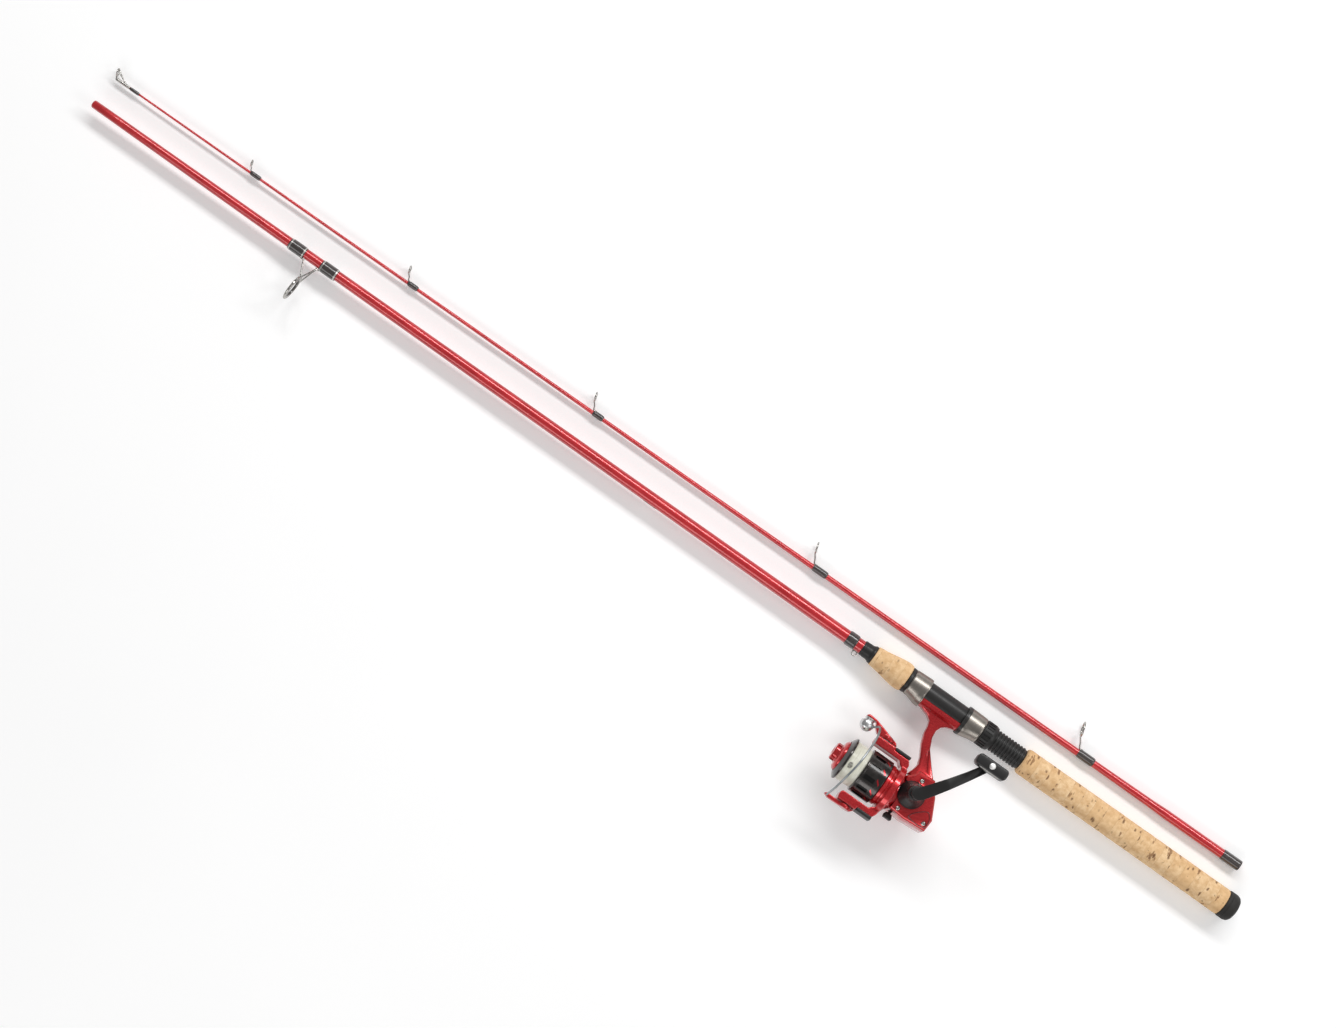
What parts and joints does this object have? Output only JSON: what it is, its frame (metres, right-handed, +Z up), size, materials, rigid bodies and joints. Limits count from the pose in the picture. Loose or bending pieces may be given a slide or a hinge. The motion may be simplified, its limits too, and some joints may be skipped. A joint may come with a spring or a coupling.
{
  "type": "spinning rod and reel",
  "caption": "Two-piece spinning fishing rod with cork grips and line guides, the tip section lying beside the butt section, and a spinning reel with crank handle, bail and wound spool.",
  "frame": {"origin": "centre of the flat end of the butt cap, on the axis of the butt section", "axes": "+X along the butt section from the butt cap towards the tip, +Y towards the reel side, +Z up from the flat surface that both sections and the reel lie on, which is 13.5 mm below the origin"},
  "size_m": [1.2461, 0.1879, 0.0919],
  "materials": {
    "red_blank": "clear gloss coat over translucent red",
    "cap_rubber": "matt",
    "cork": "sanded cork with pits",
    "black_plastic": "satin",
    "thread": "thread under clear varnish",
    "guide_steel": "polished",
    "ceramic": "polished ceramic",
    "hood_metal": "gunmetal anodised",
    "red_paint": "metallic gloss",
    "bright_steel": "machined",
    "reel_black": "satin",
    "gear_brass": "machined",
    "chrome": "polished",
    "spool_metal": "dark metallic gloss",
    "fishing_line": "clear nylon, close turns",
    "fibre": "woven fibre"
  },
  "bodies": {
    "rod": {"butt_blank": "red_blank", "butt_cap": "cap_rubber", "rear_grip": "cork", "reel_seat": "black_plastic", "fore_grip": "cork", "winding_check": "black_plastic", "keeper_wrap": "thread", "hook_keeper": "guide_steel", "stripper_guide": "guide_steel", "stripper_ring": "ceramic", "stripper_rear_wrap": "thread", "stripper_front_wrap": "thread", "fixed_hood": "hood_metal", "seat_collar": "black_plastic", "reel_housing": "red_paint", "side_cover": "red_paint", "cover_screw_1": "bright_steel", "cover_screw_2": "bright_steel", "cover_screw_3": "bright_steel", "side_cap": "reel_black", "handle_bearing": "bright_steel", "pinion_bearing": "bright_steel"},
    "tip_section": {"tip_blank": "red_blank", "ferrule_wrap": "thread", "guide_1": "guide_steel", "guide_2": "guide_steel", "guide_3": "guide_steel", "guide_4": "guide_steel", "guide_5": "guide_steel", "guide_1_wrap": "thread", "guide_2_wrap": "thread", "guide_3_wrap": "thread", "guide_4_wrap": "thread", "guide_5_wrap": "thread", "tip_top": "guide_steel", "tip_top_wrap": "thread"},
    "hood": {"sliding_hood": "hood_metal"},
    "nut": {"locking_nut": "black_plastic"},
    "crank": {"drive_gear": "gear_brass", "handle_hub": "reel_black", "handle_arm": "reel_black", "knob_pin": "chrome"},
    "knob": {"handle_knob": "reel_black"},
    "oscillation": {"oscillation_gear": "reel_black"},
    "rotor_set": {"pinion_gear": "gear_brass", "rotor": "red_paint", "rotor_nut": "gear_brass", "arm_cover_1": "reel_black", "arm_cover_2": "reel_black"},
    "bail": {"bail_arm": "red_paint", "bail_lever": "red_paint", "bail_wire": "chrome"},
    "roller": {"line_roller": "chrome"},
    "shaft": {"main_shaft": "bright_steel", "crosswind_block": "reel_black"},
    "spool_set": {"spool": "spool_metal", "line_winding": "fishing_line"},
    "drag": {"drag_washer": "fibre", "drag_knob": "red_paint"},
    "lever": {"anti_reverse_lever": "reel_black"}
  },
  "joints": [
    {"name": "tip_section_lift", "type": "slide", "parent": "rod", "child": "tip_section", "axis": [0, 0, 1], "range_m": [0, 0.12]},
    {"name": "hood_slide", "type": "slide", "parent": "rod", "child": "hood", "axis": [1, 0, 0], "range_m": [-0.014, 0]},
    {"name": "nut_turn", "type": "hinge", "parent": "hood", "child": "nut", "pos_m": [0.2705, 0, 0], "axis": [1, 0, 0], "range_deg": [-1575, 0]},
    {"name": "crank_turn", "type": "hinge", "parent": "rod", "child": "crank", "pos_m": [0.299, 0.08038, 0.03549], "axis": [0, -0.2079, 0.9781], "continuous": true},
    {"name": "knob_spin", "type": "hinge", "parent": "crank", "child": "knob", "pos_m": [0.26168, 0.02057, 0.0698], "axis": [0, -0.2079, 0.9781], "continuous": true},
    {"name": "oscillation_turn", "type": "hinge", "parent": "rod", "child": "oscillation", "pos_m": [0.2865, 0.09049, 0.02639], "axis": [0, -0.2079, 0.9781], "continuous": true},
    {"name": "rotor_turn", "type": "hinge", "parent": "rod", "child": "rotor_set", "pos_m": [0.33, 0.08882, 0.01888], "axis": [1, 0, 0], "continuous": true},
    {"name": "bail_open", "type": "hinge", "parent": "rotor_set", "child": "bail", "pos_m": [0.341, 0.08882, 0.01888], "axis": [0, 0.9781, 0.2079], "range_deg": [0, 118]},
    {"name": "roller_spin", "type": "hinge", "parent": "bail", "child": "roller", "pos_m": [0.3646, 0.04989, 0.0106], "axis": [0, 0.9781, 0.2079], "continuous": true},
    {"name": "shaft_slide", "type": "slide", "parent": "rod", "child": "shaft", "axis": [1, 0, 0], "range_m": [-0.005, 0.005]},
    {"name": "spool_turn", "type": "hinge", "parent": "shaft", "child": "spool_set", "pos_m": [0.354, 0.08882, 0.01888], "axis": [1, 0, 0], "continuous": true},
    {"name": "drag_turn", "type": "hinge", "parent": "shaft", "child": "drag", "pos_m": [0.372, 0.08882, 0.01888], "axis": [1, 0, 0], "range_deg": [0, 720]},
    {"name": "lever_swing", "type": "hinge", "parent": "rod", "child": "lever", "pos_m": [0.3046, 0.09928, 0.0211], "axis": [1, 0, 0], "range_deg": [-18, 18]}
  ],
  "couplings": [
    {"joint": "hood_slide", "follows": "nut_turn", "m_per_rad": 0.0005093},
    {"joint": "rotor_turn", "follows": "crank_turn", "ratio": 4},
    {"joint": "oscillation_turn", "follows": "crank_turn", "ratio": -0.78947}
  ]
}
